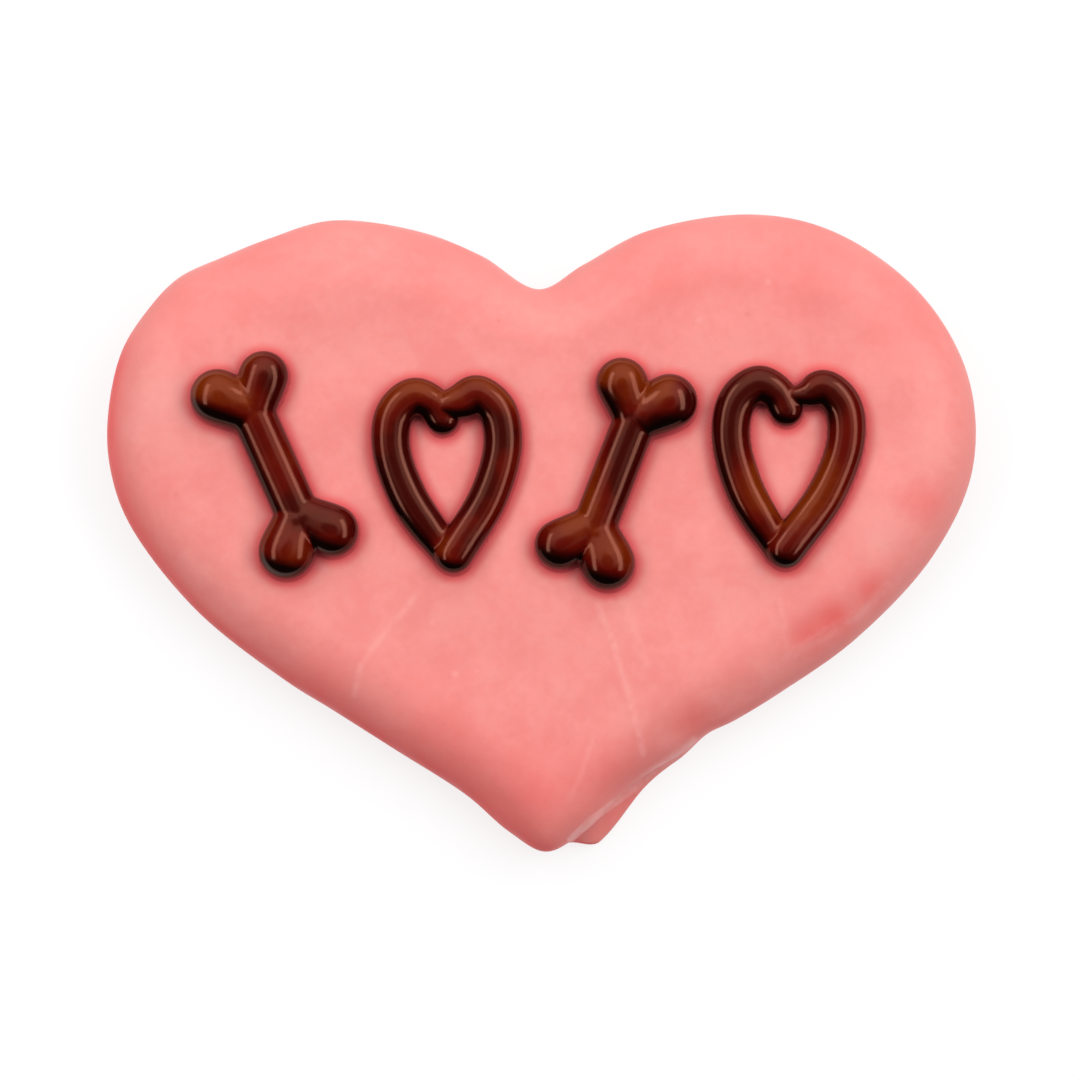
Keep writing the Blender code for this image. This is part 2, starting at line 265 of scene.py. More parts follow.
SPECKS = (
    Speck((-4.9, 24.1), 0.32, -0.24),
    Speck((-0.7, 25.9), 0.26, -0.14),
    Speck((23.4, 24.9), 0.32, -0.16),
    Speck((14.5, 25.0), 0.28, -0.1),
    Speck((-11.1, -21.7), 0.32, -0.1),
    Speck((2.9, -23.8), 0.36, -0.1),
    Speck((-41.5, 4.4), 0.36, -0.1),
    Speck((-9.8, -16.0), 0.5, 0.35),
    Speck((-7.3, -15.7), 0.25, 0.2),
    Speck((25.7, 28.5), 0.42, 0.25),
    Speck((17.9, 24.2), 0.4, 0.25),
    Speck((-12.4, -10.2), 0.35, 0.22),
    Speck((7.9, -7.6), 0.55, 0.2),
)


# ---- the coated biscuit ----
@dataclass(frozen=True)
class RunOut:
    """Icing that has run out at the foot of the right flank. Distances are taken along it from the tip."""

    reach: float
    rise: Span
    fade: Span

    def reach_along(self, loop: np.ndarray) -> np.ndarray:
        """Returns how far the icing runs out at each point of the outline."""
        steps = np.linalg.norm(np.roll(loop, -1, axis=0) - loop, axis=1)
        along = np.concatenate([[0.0], np.cumsum(steps)[:-1]])
        from_tip = along - along[np.argmin(loop[:, 1])]
        return self.reach * ease(from_tip, *self.rise) * (1 - ease(from_tip, *self.fade))


@dataclass(frozen=True)
class HeartOutline:
    """The heart's plan, and the icing that has run out along its right flank."""

    anchors: tuple[Point, ...] = (
        (-0.4, 27.9),  # cleft
        (-6.9, 31.7),
        (-14.0, 34.5),
        (-24.2, 35.8),  # left crown
        (-31.2, 33.8),
        (-36.7, 31.6),  # the left lobe's flat shoulder
        (-41.8, 29.2),
        (-45.3, 25.6),
        (-48.4, 20.6),
        (-50.0, 12.5),  # widest point on the left
        (-49.5, 6.4),
        (-47.3, 0.6),
        (-39.8, -9.0),
        (-29.4, -17.2),
        (-24.1, -20.5),
        (-17.0, -25.0),
        (-8.7, -30.3),  # the left flank steepens towards the tip
        (-3.8, -34.5),
        (0.4, -36.8),  # tip
        (4.3, -34.9),
        (11.0, -29.4),
        (16.0, -26.1),
        (19.1, -23.3),  # the dent in the right flank
        (22.5, -21.5),
        (27.7, -18.3),
        (36.1, -12.3),
        (45.0, -2.7),
        (49.5, 7.2),
        (49.0, 17.8),
        (43.5, 27.4),
        (33.8, 34.4),
        (24.4, 36.5),  # right crown
        (12.1, 34.6),
        (4.7, 30.7),
    )
    # the lobe stands out past the outline, and the lip lies inside it
    lobe: RunOut = RunOut(2.15 * MM, (2.4 * MM, 5.8 * MM), (4.5 * MM, 18.5 * MM))
    lip: RunOut = RunOut(0.7 * MM, (6.0 * MM, 12.0 * MM), (16.0 * MM, 26.0 * MM))

    def rim(self, count: int) -> tuple[np.ndarray, np.ndarray, np.ndarray]:
        """Works out the rim, where the coat's side stands upright.

        Args:
            count: how many points to put round the rim.

        Returns:
            The rim's points centred in plan, their outward normals, and how far icing runs out past each.
        """
        outline = evenly(smooth_line(np.array(self.anchors) * MM, closed=True), count, closed=True)
        way = np.roll(outline, -1, axis=0) - np.roll(outline, 1, axis=0)
        way /= np.linalg.norm(way, axis=1, keepdims=True)
        normals = np.stack([way[:, 1], -way[:, 0]], axis=1)
        lobe, lip = self.lobe.reach_along(outline), self.lip.reach_along(outline)
        widest = outline + normals * lobe[:, None]
        middle = (widest.min(axis=0) + widest.max(axis=0)) / 2
        return outline - normals * lip[:, None] - middle, normals, lobe + lip


@dataclass
class IcedBiscuit:
    """The biscuit in its pink coat, built as rings from the middle of its base to the middle of its top."""

    node: str = "iced_biscuit"
    outline: HeartOutline = HeartOutline()
    rim_height: float = 2.4 * MM
    shoulder_reach: float = 7.8 * MM
    shoulder_power: float = 2.15
    hub: Point = (0.0, -3.0 * MM)
    spokes: int = 736
    fewest_spokes: int = 46
    side_rings: int = 24
    shoulder_rings: int = 34
    top_rings: int = 110
    base_rings: int = 20
    top_spread: float = 8.2 * MM  # how far in from the rim the shoulder's rings end
    foot_inset: float = 0.4 * MM  # how far the foot of the side turns under
    # height above the base in millimetres, share of the foot's inset, share of the icing that has run out
    side_section: tuple[tuple[float, float, float], ...] = (
        (0.0, 1.0, 0.80),
        (0.25, 0.3, 0.95),
        (0.7, 0.0, 1.0),
        (1.2, 0.0, 0.84),
        (1.7, 0.0, 0.42),
        (2.1, 0.0, 0.12),
        (2.4, 0.0, 0.0),
    )
    rim_blend: Span = (0.4 * MM, 1.2 * MM)  # where the soft distance takes over from the exact one
    swell: Swell = Swell(seed=11, count=14, lengths=(9 * MM, 26 * MM), height=0.055 * MM)
    lumps: Swell = Swell(seed=5, count=40, lengths=(2.2 * MM, 5.5 * MM), height=0.007 * MM)
    foot_swell: Swell = Swell(seed=8, count=10, lengths=(5 * MM, 15 * MM), height=0.08 * MM)
    base_swell: Swell = Swell(seed=3, count=30, lengths=(2.5 * MM, 9 * MM), height=0.03 * MM)
    relief_reach: float = 2.5 * MM  # how far in from the rim the swell and the lumps are at full height
    base_lift: float = 0.1 * MM
    base_lift_power: int = 6  # the higher, the closer to the edge the underside stays lifted
    base_crowding: float = 0.6  # below 1, the underside's rings lie closer together near its edge
    base_flat: float = 0.1  # the share of the way in from the edge over which the unevenness starts
    contact_shade_reach: float = 1.45  # millimetres; how far the painted shade reaches out from the dark icing
    contact_shade_drift: Point = (0.05, -0.25)  # millimetres; the painted shade reaches farther towards the tip, away from the light
    contact_shade_search: float = 16.0  # millimetres; farther than this from a line's middle nothing is shaded
    thickness: float = 0.0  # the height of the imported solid, known once the biscuit is built

    def build(self, motifs: "tuple[PipedMotif, ...]") -> bpy.types.Object:
        """Builds the coated biscuit.

        Args:
            motifs: what is piped on it, which casts painted shade on the coat close by.

        Returns:
            The finished object, without its material.
        """
        low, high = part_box(self.node)
        self.thickness = high.z
        rim, normals, reach = self.outline.rim(self.spokes)
        rings = self.base(rim, normals, reach) + self.side(rim, normals, reach) + self.top(rim)
        piece = mesh_from_rings(self.node + "_coat", [np.clip(ring, low, high) for ring in rings])
        self.contact_shade(piece.data, motifs)
        return piece

    def contact_shade(self, mesh: bpy.types.Mesh, motifs: "tuple[PipedMotif, ...]") -> None:
        """Marks on each point of the coat how much painted shade the piping beside it casts.

        Args:
            mesh: the coat's mesh.
            motifs: what is piped on it.
        """
        points = np.empty(3 * len(mesh.vertices), np.float32)
        mesh.vertices.foreach_get("co", points)
        points = points.reshape(-1, 3).astype(float) / MM
        strength = np.zeros(len(points))
        for motif in motifs:
            for line in motif.lines():
                path, widths = motif.sweep(line)
                near = np.linalg.norm(points[:, :2] - path.mean(axis=0), axis=1) < self.contact_shade_search
                near &= points[:, 2] > self.thickness / MM / 2
                gaps = np.linalg.norm(points[near, None, :2] - path - self.contact_shade_drift, axis=2) - widths
                tint = 1 - ease(gaps.min(axis=1), 0.0, self.contact_shade_reach)
                strength[near] = np.maximum(strength[near], tint)
        mesh.attributes.new(CONTACT_SHADE, "FLOAT", "POINT").data.foreach_set("value", strength)

    def side(self, rim: np.ndarray, normals: np.ndarray, reach: np.ndarray) -> list[np.ndarray]:
        """Works out the rings of the coat's side.

        Args:
            rim: the points of the rim.
            normals: the rim's outward normals.
            reach: how far icing runs out past each point.

        Returns:
            The rings, from the base up to just below the rim.
        """
        section = smooth_line(np.array(self.side_section), closed=False)
        section = evenly(section, self.side_rings, closed=False)
        uneven = np.abs(self.foot_swell.at(rim))
        rings = []
        for height, inset_share, reach_share in section:
            out = reach * reach_share - (self.foot_inset + uneven) * inset_share
            rings.append(np.column_stack([rim + normals * out[:, None], np.full(len(rim), height * MM)]))
        return rings

    def base(self, rim: np.ndarray, normals: np.ndarray, reach: np.ndarray) -> list[np.ndarray]:
        """Works out the rings of the underside, which is hollowed very slightly inside its edge.

        Args:
            rim: the points of the rim.
            normals: the rim's outward normals.
            reach: how far icing runs out past each point.

        Returns:
            The rings, from the middle of the underside out to just inside its edge.
        """
        _, inset_share, reach_share = self.side_section[0]
        edge = rim + normals * (reach * reach_share - self.foot_inset * inset_share)[:, None]
        rings = []
        for share in np.linspace(0.0, 1.0, self.base_rings, endpoint=False)[1:] ** self.base_crowding:
            plan = self.hub + (edge[:: self.stride(share)] - self.hub) * share
            uneven = np.abs(self.base_swell.at(plan)) * ease(1 - share, 0.0, self.base_flat)
            lift = self.base_lift * (1 - share**self.base_lift_power) + uneven
            rings.append(np.column_stack([plan, lift]))
        return rings

    def top(self, rim: np.ndarray) -> list[np.ndarray]:
        """Works out the rings of the shoulder and the top.

        Args:
            rim: the points of the rim.

        Returns:
            The rings, from just inside the rim to the middle of the top.
        """
        spokes = rim - self.hub
        lengths = np.linalg.norm(spokes, axis=1, keepdims=True)
        turns = np.linspace(0.0, math.pi / 2, self.shoulder_rings + 1)[1:]
        steps_in = self.top_spread * (1 - np.cos(turns) ** (2 / self.shoulder_power))
        plans = [self.hub + spokes * (1 - step / lengths) for step in steps_in]
        inner = plans[-1] - self.hub
        for share in np.linspace(1.0, 0.0, self.top_rings, endpoint=False)[1:]:
            plans.append(self.hub + (inner * share)[:: self.stride(share)])
        heights = self.heights(np.vstack(plans), rim)
        splits = np.cumsum([len(plan) for plan in plans])[:-1]
        return [np.column_stack(pair) for pair in zip(plans, np.split(heights, splits))]

    def stride(self, share: float) -> int:
        """Returns how many spokes apart the points of a ring may be, so that the rings thin out inwards."""
        halvings = math.floor(-math.log2(share))
        return min(2**halvings, self.spokes // self.fewest_spokes)

    def heights(self, plan: np.ndarray, rim: np.ndarray) -> np.ndarray:
        """Works out the height of the coat's top.

        Args:
            plan: points inside the rim.
            rim: the points of the rim.

        Returns:
            The height over each point, with the swell, dents and folds that hands leave.
        """
        away = self.soft_distance(plan, rim)
        inside = np.clip(away / self.shoulder_reach, 0.0, 1.0)
        rise = (1 - (1 - inside) ** self.shoulder_power) ** (1 / self.shoulder_power)
        height = self.rim_height + (self.thickness - self.rim_height) * rise
        relief = self.swell.at(plan) + self.lumps.at(plan)
        relief += sum(fold.lift(plan) for fold in FOLDS_AND_HIGHLIGHTS) - sum(dent.drop(plan) for dent in DENTS)
        relief -= 2 * self.swell.height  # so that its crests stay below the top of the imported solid
        return np.minimum(height + relief * ease(away, 0.0, self.relief_reach), self.thickness)

    def soft_distance(self, plan: np.ndarray, rim: np.ndarray) -> np.ndarray:
        """Measures the distance to the rim with no crease along the middle of the heart.

        It is an inverse fourth-power mean over the rim, whose integral along a straight edge at distance
        d is pi / (2 * d**3). Close to the rim the exact distance takes over.

        Args:
            plan: points inside the rim.
            rim: the points of the rim.

        Returns:
            One distance for each point.
        """
        edges = np.linalg.norm(np.roll(rim, -1, axis=0) - rim, axis=1)
        middles = (np.roll(rim, -1, axis=0) + rim) / 2
        exact = distance_to_line(plan, np.vstack([rim, rim[:1]]))
        soft = np.empty(len(plan))
        for first in range(0, len(plan), BATCH):
            squares = ((plan[first : first + BATCH, None] - middles) ** 2).sum(axis=2)
            soft[first : first + BATCH] = (2 / math.pi * (edges / squares**2).sum(axis=1)) ** (-1 / 3)
        trust = ease(exact, *self.rim_blend)
        return exact * (1 - trust) + soft * trust


def mesh_from_rings(name: str, rings: list[np.ndarray]) -> bpy.types.Object:
    """Skins a closed body over rings that run from one pole to the other.

    Args:
        name: the object's name.
        rings: the rings in order. A ring has as many points as the one before it, half or twice as many.

    Returns:
        A smooth-shaded object.
    """
    faces = []
    first = [int(n) for n in np.cumsum([0] + [len(ring) for ring in rings])]
    loops = [range(start, start + len(ring)) for start, ring in zip(first, rings)]
    for a, b in zip(loops, loops[1:]):
        small = min(len(a), len(b))
        for i in range(small):
            j = (i + 1) % small
            if len(a) == len(b):
                faces.append((a[i], a[j], b[j], b[i]))
            elif len(a) > len(b):
                faces.append((a[2 * i], a[2 * i + 1], b[i]))
                faces.append((a[2 * i + 1], a[(2 * i + 2) % len(a)], b[j], b[i]))
            else:
                faces.append((a[i], b[2 * i + 1], b[2 * i]))
                faces.append((a[i], a[j], b[(2 * i + 2) % len(b)], b[2 * i + 1]))
    poles = np.array([rings[0].mean(axis=0), rings[-1].mean(axis=0)])
    for loop, pole in ((loops[0], first[-1]), (loops[-1], first[-1] + 1)):
        for i in range(len(loop)):
            pair = (loop[i], loop[(i + 1) % len(loop)])
            faces.append((*pair, pole) if loop is loops[-1] else (*pair[::-1], pole))
    mesh = bpy.data.meshes.new(name)
    mesh.from_pydata(np.vstack([*rings, poles]), [], faces)
    mesh.shade_smooth()
    mesh.set_sharp_from_angle(angle=CREASE)
    return show(name, mesh)


def show(name: str, data: bpy.types.ID) -> bpy.types.Object:
    """Puts a mesh, light or camera into the scene.

    Args:
        name: the object's name.
        data: what the object holds.

    Returns:
        The new object.
    """
    piece = bpy.data.objects.new(name, data)
    bpy.context.scene.collection.objects.link(piece)
    return piece


# ---- piping ----
class MotifShape(Enum):
    """What is piped."""

    BONE = "bone"
    HEART = "heart"


@dataclass
class PipedLine:
    """One line from the nozzle, drawn round its motif's middle. Its sizes are in millimetres."""

    anchors: np.ndarray
    half_width: float
    start: float  # half width of the blob or point at the first anchor
    end: float
    climb: Span = (0.0, 0.0)  # how far each end rides up over the line beneath it
    bulb: float = 3.0  # how soon the blob at an end thins to the line
    climb_length: float = 4.0

    def widths(self, along: np.ndarray) -> np.ndarray:
        """Returns the line's half width at each distance along it."""
        by_start, by_end = self.ends(along, self.bulb)
        wide = self.half_width
        return wide + (self.start - wide) * by_start + (self.end - wide) * by_end

    def lifts(self, along: np.ndarray) -> np.ndarray:
        """Returns how far the line is lifted at each distance along it."""
        by_start, by_end = self.ends(along, self.climb_length)
        return self.climb[0] * by_start + self.climb[1] * by_end

    @staticmethod
    def ends(along: np.ndarray, reach: float) -> tuple[np.ndarray, np.ndarray]:
        """Returns how close to its start and to its end each point of a line is, from 0 to 1."""
        return np.exp(-((along / reach) ** 2)), np.exp(-(((along[-1] - along) / reach) ** 2))


@dataclass
class PipedMotif:
    """A bone or a heart of dark icing. Its sizes are in millimetres."""

    node: str
    shape: MotifShape
    middle: Point
    tilt: float  # degrees anticlockwise
    scale: float = 1.0
    flick: Point = (0.0, 0.0)  # where a heart's second line is pulled to, past the cleft
    seed: int = 1
    height_share: float = 0.775  # half height over half width of a line's section
    seat_share: float = 0.32  # how far the section's middle stands above the coat, over half width
    waver: float = 0.09  # how much the hand wavers; the line thins by its square
    waver_count: int = 4
    waver_lengths: Span = (18.0, 32.0)
    line_sides: int = 64
    line_step: float = 0.2
    nose_steps: int = 12
    nose_end: float = 0.2  # how many steps short of a point a nose ends
    voxel: float = 0.15
    skin_softness: float = 0.5
    skin_passes: int = 14
    bone_knob_middle: Point = (2.85, 9.6)
    bone_knob_tail: Point = (0.7, 7.2)
    bone_knob_sizes: tuple[float, ...] = (1.0, 0.92, 0.96, 1.03)
    bone_knob: float = 3.1
    bone_shaft: float = 2.5
    heart_half_size: Point = (6.4, 9.0)
    heart_line: float = 2.2
    heart_start: float = 1.9
    heart_point: float = 1.8
    heart_flick: float = 0.45
    heart_climb: Span = (0.5, 1.1)
    half_heart: tuple[Point, ...] = (
        (0.06, 0.71),
        (0.24, 0.91),
        (0.56, 1.0),  # crown
        (0.90, 0.80),
        (0.99, 0.38),
        (0.72, -0.26),
        (0.05, -1.0),
    )

    def lines(self) -> list[PipedLine]:
        """Returns the motif's lines, in the order in which they are piped."""
        return self.bone_lines() if self.shape is MotifShape.BONE else self.heart_lines()

    def bone_lines(self) -> list[PipedLine]:
        """Works out a bone.

        Returns:
            Its shaft and the four short lines that make its knobs.
        """
        tail, shaft = np.array(self.bone_knob_tail), self.bone_shaft
        lines = [PipedLine(np.array([(0.0, tail[1]), (0.0, -tail[1])]), shaft, shaft, shaft)]
        for corner, size in zip(((-1, 1), (1, 1), (1, -1), (-1, -1)), self.bone_knob_sizes):
            anchors = np.array([self.bone_knob_middle, tail]) * corner
            lines.append(PipedLine(anchors, shaft, size * self.bone_knob, shaft))
        return lines

    def heart_lines(self) -> list[PipedLine]:
        """Works out a heart.

        Returns:
            The line down its left side, then the one up its right side, which crosses the first.
        """
        half = np.array(self.half_heart) * self.heart_half_size
        left, right = half * (-1, 1), np.vstack([half[:0:-1], [self.flick]])
        return [
            PipedLine(left, self.heart_line, self.heart_start, self.heart_point),
            PipedLine(right, self.heart_line, self.heart_line, self.heart_flick, climb=self.heart_climb),
        ]

    def place(self, anchors: np.ndarray) -> np.ndarray:
        """Returns a line's anchors turned, sized and moved to the motif's place on the biscuit."""
        turn = math.radians(self.tilt)
        x, y = (anchors * self.scale).T
        turned = (x * math.cos(turn) - y * math.sin(turn), x * math.sin(turn) + y * math.cos(turn))
        return np.column_stack(turned) + self.middle

    def sweep(self, line: PipedLine) -> tuple[np.ndarray, np.ndarray]:
        """Follows a piped line.

        Args:
            line: the line to pipe.

        Returns:
            Points along its middle in plan, and its half width at each.
        """
        path = smooth_line(self.place(line.anchors), closed=False)
        length = np.linalg.norm(np.diff(path, axis=0), axis=1).sum()
        count = round(length / self.line_step) + 1
        return evenly(path, count, closed=False), line.widths(np.linspace(0.0, length, count))

    def tube(self, line: PipedLine, seed: int) -> list[np.ndarray]:
        """Works out the skin of one piped line, which thins a little where the hand wavered.

        Args:
            line: the line to pipe.
            seed: what the wobble is drawn from.

        Returns:
            Rings of points in millimetres above the coat, from one round nose to the other.
        """
        path, widths = self.sweep(line)
        count = len(path)
        along = np.linspace(0.0, self.line_step * (count - 1), count)
        hand = Swell(seed, self.waver_count, self.waver_lengths, self.waver)
        widths = widths * (1 - hand.at(along[:, None]) ** 2)
        middles = widths * self.seat_share + line.lifts(along)
        ways = np.gradient(path, axis=0)
        ways /= np.linalg.norm(ways, axis=1, keepdims=True)
        rings = []
        for k in range(-self.nose_steps, count + self.nose_steps):
            i = min(max(k, 0), count - 1)
            turn = math.pi / 2 * min(abs(k - i), self.nose_steps - self.nose_end) / self.nose_steps
            nose = path[i] + ways[i] * np.sign(k - i) * widths[i] * math.sin(turn)
            rings.append(self.section(nose, ways[i], widths[i] * math.cos(turn), middles[i]))
        return rings

    def section(self, middle: np.ndarray, way: np.ndarray, half_width: float, height: float) -> np.ndarray:
        """Works out one section of a piped line.

        Args:
            middle: the section's middle in plan.
            way: the direction of the line.
            half_width: the section's half width.
            height: the height of its middle.

        Returns:
            The points of a slightly flattened ring.
        """
        turns = np.linspace(0.0, 2 * math.pi, self.line_sides, endpoint=False)
        side = np.array([-way[1], way[0]])
        plan = middle + side * (np.cos(turns) * half_width)[:, None]
        return np.column_stack([plan, height + np.sin(turns) * half_width * self.height_share])

    def build(self) -> bpy.types.Object:
        """Pipes the motif: its lines run together into one body with a soft skin.

        Returns:
            The finished object, without its material.
        """
        coat_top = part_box("iced_biscuit")[1].z
        tubes = []
        for number, line in enumerate(self.lines()):
            rings = [ring * MM + (0.0, 0.0, coat_top) for ring in self.tube(line, self.seed + number)]
            tubes.append(mesh_from_rings(f"{self.node}_line_{number}", rings))
        with bpy.context.temp_override(active_object=tubes[0], selected_editable_objects=tubes):
            bpy.ops.object.join()
        body = tubes[0]
        remesh = body.modifiers.new("run together", "REMESH")
        remesh.mode = "VOXEL"
        remesh.voxel_size = self.voxel * MM
        soften = body.modifiers.new("soft skin", "SMOOTH")
        soften.factor = self.skin_softness
        soften.iterations = self.skin_passes
        seen = body.evaluated_get(bpy.context.evaluated_depsgraph_get())
        mesh = bpy.data.meshes.new_from_object(seen)
        bpy.data.objects.remove(body)
        mesh.materials.clear()
        mesh.shade_smooth()
        return show(self.node + "_icing", mesh)


# ---- finishes ----
class NodeBench:
    """Builds the node tree of one material or world."""

    NOISE_ROUGHNESS = 0.55

    def __init__(self, tree: bpy.types.NodeTree) -> None:
        """Starts from an empty tree."""
        self.tree = tree
        tree.nodes.clear()

    def add(self, kind: str, inputs: dict | None = None, **settings: object) -> bpy.types.Node:
        """Adds a node.

        Args:
            kind: the node's type.
            inputs: a value or a socket to link for each named or numbered input.
            settings: the node's own options.

        Returns:
            The new node.
        """
        node = self.tree.nodes.new(kind)
        for name, value in settings.items():
            setattr(node, name, value)
        for name, value in (inputs or {}).items():
            if isinstance(value, Socket):
                self.tree.links.new(value, node.inputs[name])
            else:
                node.inputs[name].default_value = value
        return node

    def math(self, operation: str, a: Socket | float, b: Socket | float = 0.0, clamp: bool = False) -> Socket:
        """Returns the result of a Math node."""
        return self.add("ShaderNodeMath", {0: a, 1: b}, operation=operation, use_clamp=clamp).outputs[0]

    def vector(self, operation: str, a: Socket, b: Socket | tuple) -> bpy.types.Node:
        """Returns a Vector Math node."""
        return self.add("ShaderNodeVectorMath", {0: a, 1: b}, operation=operation)

    def step(self, value: Socket, ends: Span, levels: Span = (0.0, 1.0)) -> Socket:
        """Eases a value from one level to another.

        Args:
            value: what to look at.
            ends: where the change begins and ends.
            levels: the result before and after it.

        Returns:
            The eased value.
        """
        limits = {"From Min": ends[0], "From Max": ends[1], "To Min": levels[0], "To Max": levels[1]}
        inputs = {"Value": value, **limits}
        return self.add("ShaderNodeMapRange", inputs, interpolation_type="SMOOTHSTEP").outputs["Result"]

    def noise(self, where: Socket, size: float, detail: float) -> Socket:
        """Returns a noise whose blotches are about size metres across."""
        inputs = {"Vector": where, "Scale": 1 / size, "Detail": detail, "Roughness": self.NOISE_ROUGHNESS}
        return self.add("ShaderNodeTexNoise", inputs).outputs["Fac"]

    def mix(self, share: Socket, a: Socket | Colour, b: Socket | Colour) -> Socket:
        """Returns the colour a where share is 0 and b where it is 1."""
        node = self.add("ShaderNodeMix", {"Factor": share}, data_type="RGBA")
        for socket, value in zip((node.inputs[6], node.inputs[7]), (a, b)):
            if isinstance(value, Socket):
                self.tree.links.new(value, socket)
            else:
                socket.default_value = value
        return node.outputs[2]

    def shade(self, inputs: dict) -> None:
        """Ends a material's tree in a shader with these inputs."""
        shader = self.add("ShaderNodeBsdfPrincipled", inputs)
        self.add("ShaderNodeOutputMaterial", {"Surface": shader.outputs[0]})


def new_material(name: str) -> tuple[bpy.types.Material, NodeBench]:
    """Makes a material.

    Args:
        name: what to call it.

    Returns:
        The material, and the bench on which to build its nodes.
    """
    material = bpy.data.materials.new(name)
    material.use_nodes = True
    return material, NodeBench(material.node_tree)


@dataclass(frozen=True)
class PinkIcing:
    """The satin coat: fine mottling, pale lines where it wrinkled, a few crumbs and bubbles, and painted
    light and shade.
    """

    slot: str = "pink_icing"
    pale: Colour = (0.89, 0.307, 0.280, 1.0)
    deep: Colour = (0.86, 0.262, 0.240, 1.0)
    # painted shade on the steep sides, deepest on the lower left, away from the light
    side_shade: Colour = (0.83, 0.245, 0.222, 1.0)
    deep_side_shade: Colour = (0.84, 0.088, 0.080, 1.0)
    deep_shade_way: Way = (-0.70, -0.71, 0.0)  # the way that the sides with the deepest painted shade face, the lower left, away from the light
    deep_shade_span: Span = (0.0, 0.6)
    side_tilt: Span = (0.35, 0.93)  # the normal's Z where the painted shade of the sides ends and the top's colour begins
    mark_tilt: Span = (0.0, 0.2)  # the normal's Z below which there are no hairlines and specks
    # the pale colour of the fine lines, light specks, painted highlight bands and painted sheen patches
    pale_mark_and_sheen: Colour = (0.96, 0.46, 0.43, 1.0)
    hairline_gap: float = 0.45  # how much of a hairline the grain leaves where it breaks it up
    crumb: Colour = (0.55, 0.13, 0.10, 1.0)
    # painted shade round the piping, reaching farthest towards the tip, away from the light
    contact_shade: Colour = (0.86, 0.068, 0.080, 1.0)
    contact_shade_share: float = 0.78
    tight_shade: Colour = (0.40, 0.012, 0.030, 1.0)  # painted contact shadow right beside the piping
    tight_shade_share: float = 0.45
    tight_shade_span: Span = (0.92, 1.0)
    blotch: float = 5.5 * MM
    grain: float = 1.1 * MM
    peel: float = 0.45 * MM
    blotch_share: float = 0.65
    grain_share: float = 0.35
    mottling: Span = (0.34, 0.66)
    fold_fade: float = 1.2  # a hairline fades out at this many of its half widths
    speck_fade: float = 1.4  # a speck fades out at this many of its radii
    roughness: Span = (0.42, 0.55)

    def material(self) -> bpy.types.Material:
        """Makes the coat's material.

        Returns:
            The material, named for its slot.
        """
        material, bench = new_material(self.slot)
        coordinates = bench.add("ShaderNodeTexCoord").outputs
        where = coordinates["Object"]
        plan = bench.vector("MULTIPLY", where, (1.0, 1.0, 0.0)).outputs[0]
        tilt = bench.add("ShaderNodeSeparateXYZ", {0: coordinates["Normal"]}).outputs["Z"]
        upper = bench.step(tilt, self.mark_tilt)
        blotch, grain = bench.noise(where, self.blotch, 3.0), bench.noise(where, self.grain, 3.0)
        blotches = bench.math("MULTIPLY", blotch, self.blotch_share)
        share = bench.math("ADD", blotches, bench.math("MULTIPLY", grain, self.grain_share))
        colour = bench.mix(bench.step(share, self.mottling), self.deep, self.pale)
        # painted shade: the steep sides are darker, most of all those facing the lower left
        thickness = bench.vector("DOT_PRODUCT", coordinates["Normal"], self.deep_shade_way).outputs["Value"]
        side = bench.mix(bench.step(thickness, self.deep_shade_span), self.side_shade, self.deep_side_shade)
        colour = bench.mix(bench.step(tilt, self.side_tilt, (1.0, 0.0)), colour, side)
        # painted shade and painted sheen in soft patches
        for patch in SHADE_AND_SHEEN_PATCHES:
            mark = self.speck(bench, plan, patch)
            colour = bench.mix(mark, colour, self.deep_side_shade if patch.strength < 0 else self.pale_mark_and_sheen)
        # pale fine lines, and bands of painted highlight on the lower right flank
        hairlines_and_highlights = bench.math("MULTIPLY", self.hairlines_and_highlights(bench, plan, grain), upper)
        colour = bench.mix(hairlines_and_highlights, colour, self.pale_mark_and_sheen)
        for speck in SPECKS:
            mark = bench.math("MULTIPLY", self.speck(bench, plan, speck), upper)
            colour = bench.mix(mark, colour, self.crumb if speck.strength < 0 else self.pale_mark_and_sheen)
        # painted shade round the piping, and a darker painted contact shadow right beside it
        shade_near_piping = bench.add("ShaderNodeAttribute", attribute_name=CONTACT_SHADE).outputs["Fac"]
        colour = bench.mix(bench.math("MULTIPLY", shade_near_piping, self.contact_shade_share), colour, self.contact_shade)
        colour = bench.mix(bench.step(shade_near_piping, self.tight_shade_span, (0.0, self.tight_shade_share)), colour, self.tight_shade)
        peel = bench.noise(where, self.peel, 2.0)
        relief = bench.math("ADD", bench.math("MULTIPLY", peel, 0.6), grain)
        bump = bench.add("ShaderNodeBump", {"Height": relief, "Strength": 0.35, "Distance": 0.02 * MM})
        inputs = {
            "Base Color": colour,
            "Roughness": bench.step(blotch, (0.3, 0.7), self.roughness),
            "IOR": 1.45,
            "Specular IOR Level": 0.3,
            "Subsurface Weight": 0.25,
            "Subsurface Radius": (1.0, 0.35, 0.25),
            "Subsurface Scale": 0.8 * MM,
            "Normal": bump.outputs[0],
        }
        bench.shade(inputs)
        material.diffuse_color = self.pale
        return material

